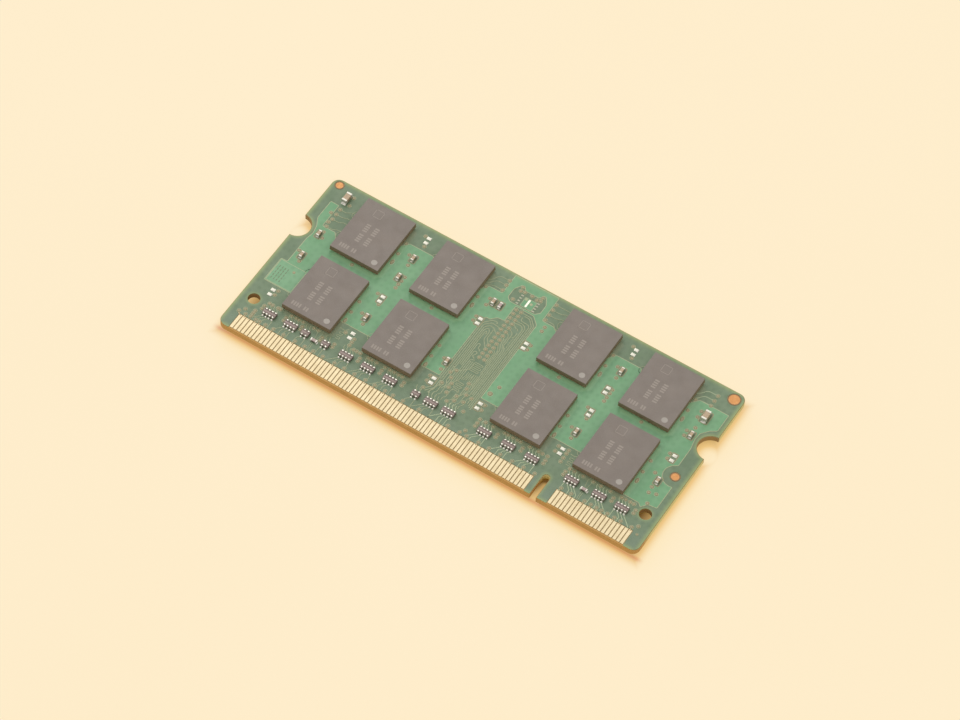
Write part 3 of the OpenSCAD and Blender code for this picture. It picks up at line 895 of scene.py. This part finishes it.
def fan_out(piece, face):
    """From each array: traces that spread down to its contacts, and slantwise up to the row of vias."""
    contacts = contact_xs(face)
    foot_gap, lean_right_from = 0.9, 52
    arrays = []
    for foot in array_feet(face):
        if arrays and foot[0] - arrays[-1][-1][0] < foot_gap:
            arrays[-1].append(foot)
        else:
            arrays.append([foot])
    for array in arrays:
        first_x = array[0][0]
        lean = 1 if first_x > lean_right_from else -1
        look = 2 if first_x > BOARD_L / 2 else 0
        for place, (x, near, far) in enumerate(array[::lean]):
            start = near - 0.25
            goal = min(contacts, key=lambda c: abs(c - x - lean * (0.1 + 0.35 * place)))
            bend = max(CONTACT_ENDS + 0.25, start - abs(goal - x))
            piece.trace([(x, near), (x, start), (goal, bend), (goal, CONTACT_ENDS)], 0.13, look=look)
            up = [(x, far), (x, far + 0.25), (x - 0.35, far + 0.65), (x - 0.35, far + 1.05)]
            piece.trace(up, 0.13, look=look)
    for middle, _ in face.solids("resistor_bodies"):
        x, y = middle.xy
        for dx in (-0.12, 0.12) if y < VIAS_BY_ARRAYS else ():
            piece.trace([(x + dx, CONTACT_ENDS), (x + dx, y - 0.35)], 0.1)
            piece.trace([(x + dx, y + 0.3), (x + 3 * dx, 6.3), (x + dx, 7.0)], 0.1)


# Runs of the routing block
ROUTES = [
    [(29.6, 6), (29.6, 6.4), (30.6, 7.6), (30.6, 20.3), (31.6, 21.4), (32.3, 21.5), (32.4, 21.1)],
    [(30, 6.3), (30.9, 7.4), (30.9, 20.1), (31.7, 20.95), (32.6, 20.9), (33.3, 20.7)],
    [(30.5, 6.3), (31.2, 8.2), (31.2, 19.8), (31.7, 20.4), (32.4, 20.4), (32.9, 19.9), (33.3, 19.9)],
    [(31.45, 10.9), (31.45, 19.5), (31.8, 19.95), (32.25, 19.5), (32.25, 18), (33.3, 16.7)],
    [(31.7, 12.6), (31.7, 19.1), (31.85, 19.4), (32, 19.1), (32, 18.8)],
    [(32.5, 20.1), (32.55, 18.4), (33.3, 17.5)],
    [(31.95, 12.6), (31.95, 16.9), (32.25, 17.1), (32.4, 16.8), (32.3, 16.3), (32.7, 16.2), (32.8, 15.9)],
    [(32.2, 13.2), (32.2, 15.6), (32.5, 15.7), (32.75, 15.5), (32.6, 15.1), (32.35, 14.8), (32.9, 14.5)],
    [(32.5, 13.2), (32.5, 14.2), (33.1, 14.3)],
    [(34.15, 24.7), (35.8, 24.7), (36.9, 23.6), (36.9, 7)],
    [(34.9, 24.4), (35.7, 24.4), (36.65, 23.4), (36.65, 7.2)],
    [(34.8, 24.1), (34.85, 23.5), (36.2, 23.4), (36.4, 23.1), (36.4, 7.4)],
    [(34.15, 23.1), (35.6, 23.1), (36.1, 22.6), (36.1, 7.6)],
    [(34.15, 22.7), (35.4, 22.8), (35.85, 22.3), (35.85, 9.2)],
    [(34.15, 22.3), (34.6, 22.3), (34.9, 22), (35.3, 22), (35.4, 21.7)],
    [(34.15, 21.5), (34.9, 21.1), (35.1, 20.8), (35.1, 18.6), (35.6, 17.9), (35.6, 8.9)],
    [(34.15, 20.7), (34.6, 20.6), (34.85, 20.2), (34.85, 18.7), (35.35, 17.8), (35.35, 9.9)],
    [(34.15, 19.9), (34.6, 19.5), (34.6, 18.6), (35.1, 17.6), (35.1, 10.4)],
    [(34.15, 18.3), (34.5, 18.1), (34.9, 17.4), (34.9, 12.9)],
    [(34.15, 17.5), (34.7, 16.9), (34.7, 14.6)],
    [(34.15, 15.9), (34.5, 15.6), (34.5, 14.8)],
    [(35.55, 21.4), (35.55, 20.6), (35.35, 20.3)],
    [(30.75, 9.3), (31, 9), (31.3, 8.6), (31.3, 8)],
    [(31.05, 12.2), (31.3, 12), (31.6, 11.2), (31.6, 9.4), (32, 8.8), (32, 8.2)]
]


def routing_block(piece):
    """The dense block between the inner packages: parallel runs, length-matching meanders and a maze."""
    for path in ROUTES:
        piece.trace(path, 0.15, bend=0.25)
    zigzag = [(35.55 + (0.1 if i % 2 else -0.1), 18.3 + 0.2 * i) for i in range(10)]
    piece.trace([(35.6, 17.9), *zigzag, (35.6, 20.4)], 0.11, bend=0.08)
    piece.trace(meander(33.3, 34.6, 12.6, 14.4, 0.3), 0.14, bend=0.14)
    piece.trace(meander(33.0, 34.0, 8.6, 10.2, 0.3), 0.14, bend=0.14)
    for k in range(5):
        x, low, high = 31.95 + 0.27 * k, 8.4 + 0.5 * k, 11.4 + 0.25 * k
        start = [(x - 0.25, low - 0.5), (x, low), (x, high)]
        piece.trace([*start, (x + 0.25, high + 0.3), (x + 0.25, 14)], 0.14)
    for k in range(4):
        x, low = 34.35 + 0.27 * k, 7.4 + 0.5 * k
        piece.trace([(x - 0.3, low), (x + 0.1, low + 0.6), (x + 0.1, 10.2), (x, 10.6), (x, 12.3)], 0.14)
    for k in range(4):
        x, low = 33.3 + 0.27 * k, 10.6 + 0.1 * k
        piece.trace([(x, low), (x, low + 0.5), (x + 0.15, low + 0.8), (x + 0.15, 12.2)], 0.13)
    for x in (30.95, 31.5, 32.1, 33.0, 33.9, 34.5, 35.1, 35.7):
        piece.trace([(x - 0.3, 6.2), (x - 0.3, 6.7), (x, 7.1), (x, 8.3), (x + 0.2, 8.6)], 0.13)


def front_traces():
    """The traces that show through the mask of the upper face."""
    piece = Piece(FRONT, "traces", TRACE_LOOKS)
    routing_block(piece)
    fan_out(piece, FRONT)
    contacts = contact_xs(FRONT)
    for x in ROW_ABOVE_CONTACTS:
        goal = min(contacts, key=lambda c: abs(c - x))
        piece.trace([(x, VIAS_BY_CONTACTS), (x, 3), (goal, CONTACT_ENDS - 0.1)], 0.16, look=1)
    piece.trace([(3.4, 4.4), (3.4, VIAS_BY_CONTACTS)], 0.14, look=1)
    for y, end in ((25.45, 25.9), (24.45, 24.7), (23.45, 23.8), (21.95, 22.3)):
        piece.trace([(3.6, y), (4.6, y), (5.3, end), (6.6, end)])
    for y, start in ((28.4, 27), (27.5, 26.4), (26.5, 26)):
        piece.trace([(27, start), (27.6, start), (28.5, y), (30, y)], bend=0.4)
    for y, end in ((28.5, 28.5), (27.5, 27.8), (26.5, 26.8), (25.5, 24.9)):
        piece.trace([(37.6, y), (39, y), (39.5, end), (40.5, end)], bend=0.3)
    for y in (27.95, 26.95, 26):
        piece.trace([(61.2, y - 1.3), (61.7, y - 1), (62.5, y), (64, y)], look=2, bend=0.4)
    for x in (15.3, 52.7):
        piece.trace(meander(x - 0.3, x + 0.35, 6.8, 8.1, 0.32), 0.13, bend=0.15)
        piece.trace([(x - 0.6, 8.6), (x + 0.1, 8.5), (x + 0.7, 9)], 0.13)
    piece.trace([(32, 25.5), (31.3, 25.2), (31.1, 24.7)])
    for x in (17.4, 51.4):
        piece.trace([(x, 20.7), (x, 18.5)], 0.2)
    for middle in package_middles(FRONT):
        for dy in (-2.1, 2.1):
            piece.trace(arc(middle.x - 4, middle.y + dy, 0.75, 110, 250, 6), 0.1)
    piece.done()


# ---- solder

def solder_joints(face):
    """Solder at the terminals of every small part, and a flat coat on the tinned lands."""
    piece = Piece(face, "solder_joints", [SOLDER, TIN, TINNED_LAND], "solder")
    for x, near, far in array_feet(face):
        piece.mound(x, near - 0.17, 0.34, 0.3, 0.01, 0.12, 0)
        piece.mound(x, far + 0.1, 0.26, 0.2, 0.01, 0.07, 1)
    for kind in ("resistor", "capacitor"):
        bodies = face.solids(f"{kind}_bodies")
        for middle, size in face.solids(f"{kind}_terminals"):
            body = min((b for b, _ in bodies), key=lambda b: (b.xy - middle.xy).length)
            away = (middle.xy - body.xy).normalized()
            reach = abs(away.x) * size.x / 2 + abs(away.y) * size.y / 2
            width = abs(away.y) * size.x + abs(away.x) * size.y
            x, y = middle.x + away.x * reach, middle.y + away.y * reach
            piece.fillet(x, y, away, width * 1.05, width * 0.3, size.z * 0.45)
    for middle, size in face.solids("bare_lands"):
        piece.mound(middle.x, middle.y, size.x * 0.98, size.y * 0.98, size.z * 0.9, 0.03, 2)
    piece.done(60)


def solder_balls(face):
    """The reflowed balls under the memory packages, full in the middle and necked at both lands."""
    piece = Piece(face, "reflowed_balls", [SOLDER], "solder")
    for middle, size in face.solids("solder_balls"):
        radius, height = size.x / 2, size.z
        profile = [(radius * math.sqrt(1 - (0.64 * k) ** 2), height * (1 + k) / 2)
                   for k in (-1, -0.5, 0, 0.5, 1)]
        piece.turned(middle.x, middle.y, profile, [0] * 5, sides=10)
    piece.done(60, [f"{face.side}_solder_balls"])


def array_glaze(face):
    """The two bands of glaze over each resistor array, the far one a dark painted reflection of the glaze's
    curve, and the glaze of the single resistors.
    """
    piece = Piece(face, "resistor_glaze", [GLAZE_DARK_REFLECTION, GLAZE_MAUVE, GLAZE_PALE], "resistor_ceramic")
    for middle, size in face.solids("array_bodies"):
        top = middle.z + size.z
        # Painted reflection: a dark band along the far side of the glaze
        piece.bar(middle.x, middle.y + 0.2, size.x - 0.06, 0.1, top + 0.02, 0.02, top - 0.02, 0)
        piece.bar(middle.x, middle.y - 0.02, size.x - 0.06, 0.32, top + 0.03, 0.03, top - 0.02, 1)
    for middle, size in face.solids("resistor_bodies"):
        top = middle.z + size.z
        piece.bar(middle.x, middle.y, size.x * 0.94, size.y * 0.94, top + 0.02, 0.03, top - 0.02, 2)
    piece.done()


# ---- marks on the packages

def printed(piece, x, y, width, length, top):
    """A faint printed rectangle on the top of a package."""
    piece.bar(x, y, width, length, top + 0.004, 0.002, top - 0.01, 1)


def blocks(piece, x, y, top, count, turned):
    """A faint band of plain equal blocks from a place, with a wider gap after the fourth."""
    for k in range(count):
        along = 0.4 * k + (0.4 if k > 3 else 0)
        if turned:
            printed(piece, x, y + along, 0.7, 0.26, top)
        else:
            printed(piece, x + along, y, 0.26, 0.7, top)


def package_marks(face):
    """The dot at each package's first ball, and plain blocks and a plain square where a maker would print."""
    piece = Piece(face, "package_marks", [PIN_MARK, PRINT], "mould_compound")
    for i in range(1, 9):
        middle, size = face.solids(f"memory_case_{i}")[0]
        top = middle.z + size.z
        x, y = middle.xy
        dot = [(0.45, top - 0.01), (0.45, top + 0.004), (0.41, top + 0.006), (0.36, top + 0.002)]
        piece.turned(x + 2.8, y - 4.0, dot, (0, 0, 0, 0), sides=28)
        for side in (-0.65, 0.65):
            printed(piece, x - 1.2, y + 3.3 + side, 1.4, 0.08, top)
            printed(piece, x - 1.2 + side, y + 3.3, 0.08, 1.4, top)
        blocks(piece, x - 1.3, y - 2.2, top, 8, True)
        blocks(piece, x + 0.1, y - 2.2, top, 8, True)
        blocks(piece, x - 2.9, y - 3.9, top, 6, False)
    piece.done()


# ---- the lower face

# The pour of the lower face, laid out like the upper one's
BACK_POUR = [
    (1.5, 9.4), (30, 9.4), (30.9, 10.4), (30.9, 21), (32, 22.2), (32, 24), (36.2, 24),
    (36.2, 22.2), (36.9, 21.4), (36.9, 9.4), (66.1, 9.4), (66.1, 17.5), (64.9, 19), (64.9, 21.2),
    (66.1, 22.7), (66.1, 26.4), (53.8, 26.4), (52.9, 27), (49, 27), (48.1, 26.4), (38.4, 26.4),
    (37.6, 29.7), (30.6, 29.7), (29.8, 26.4), (19.5, 26.4), (18.9, 27), (14.9, 27), (14.2, 26.4),
    (3, 26.4), (1.5, 25.4), (1.5, 22.7), (2.7, 21.2), (2.7, 19), (1.5, 17.5)
]


def back_copper():
    """Pours, traces and vias of the lower face, laid out as on the upper one."""
    pours = Piece(BACK, "copper_pours", [MASK_ON_COPPER, MASK_EDGE])
    pours.slab(rounded(BACK_POUR, 0.15, steps=2), POUR_TOP, side=1)
    pours.done()
    traces = Piece(BACK, "traces", TRACE_LOOKS)
    fan_out(traces, BACK)
    for k in range(10):
        x = 31.4 + 0.5 * k
        traces.trace([(x, 7.2), (x, 9.6), (x + 0.25, 10.0), (x + 0.25, 20.8 - 0.1 * k)])
    traces.trace(meander(33.2, 35.4, 11.0, 16.5, 0.25), bend=0.1)
    traces.done()
    vias = Piece(BACK, "vias", VIA_LOOKS)
    for x, _, far in array_feet(BACK):
        via(vias, x + 0.2, far + 1.2)
    for x in contact_xs(BACK)[2::3]:
        via(vias, x, 3.25)
    for kind in ("capacitor_bodies", "bare_lands"):
        for middle, _ in BACK.solids(kind):
            via(vias, middle.x - 0.85, middle.y - 0.5)
            via(vias, middle.x + 0.15, middle.y - 1.25)
    for middle in package_middles(BACK):
        for dx, dy in ((4.35, 1.9), (4.35, -0.3), (4.35, -2.2), (-4.35, 2.4)):
            via(vias, middle.x + dx, middle.y + dy)
    for k in range(9):
        via(vias, 33.6 + 0.8 * (k % 2), 17.4 + 0.7 * k)
    vias.done()


# ---- floor, light and camera

def floor():
    """A wide glowing card, just under the module."""
    mesh = bpy.data.meshes.new("floor")
    reach_m, squares, gap = 3.0, 8, 0.02
    bm = bmesh.new()
    bmesh.ops.create_grid(bm, x_segments=squares, y_segments=squares, size=reach_m)
    bm.to_mesh(mesh)
    bm.free()
    made = bpy.data.objects.new("floor", mesh)
    bpy.context.scene.collection.objects.link(made)
    mesh.materials.append(floor_look())
    made.location.z = -gap * MM


def soft_light(name, position, size, power, colour):
    """A square soft box that faces the module. Its position is in millimetres."""
    data = bpy.data.lights.new(name, "AREA")
    data.size = size * MM
    data.energy = power
    data.color = colour
    made = bpy.data.objects.new(name, data)
    made.location = Vector(position) * MM
    made.rotation_mode = "QUATERNION"
    made.rotation_quaternion = (-made.location).to_track_quat("-Z", "Y")
    made.visible_camera = False
    bpy.context.scene.collection.objects.link(made)


def surroundings():
    """An even pale room with one large soft box behind the left end."""
    warm, room_strength = (1.0, 0.97, 0.93), 0.83
    world = bpy.data.worlds.new("room")
    world.use_nodes = True
    background = world.node_tree.nodes["Background"]
    background.inputs["Color"].default_value = (*warm, 1)
    background.inputs["Strength"].default_value = room_strength
    bpy.context.scene.world = world
    soft_light("key", (-420, 400, 520), size=800, power=3.4, colour=warm)
    bpy.context.scene.view_settings.view_transform = "Standard"


def camera():
    """The camera that was fitted to the photo. Its places are in millimetres."""
    position, target, roll_degrees = Vector((147.56, -269.78, 451.90)), Vector((-0.15, -0.22, 2.15)), 4.275
    data = bpy.data.cameras.new("camera")
    data.lens = 148.45
    data.sensor_width = 36.0
    data.clip_start, data.clip_end = 0.01, 20.0
    made = bpy.data.objects.new("camera", data)
    roll = Quaternion((0, 0, 1), math.radians(roll_degrees))
    made.location = position * MM
    made.rotation_mode = "QUATERNION"
    made.rotation_quaternion = (target - position).to_track_quat("-Z", "Y") @ roll
    bpy.context.scene.collection.objects.link(made)
    bpy.context.scene.camera = made


camera()
surroundings()
floor()
dress_cad()
front_pours()
front_traces()
clearings(FRONT)
front_vias()
back_copper()
for face in (FRONT, BACK):
    fiducial_rings(face)
    solder_joints(face)
    solder_balls(face)
    array_glaze(face)
    package_marks(face)
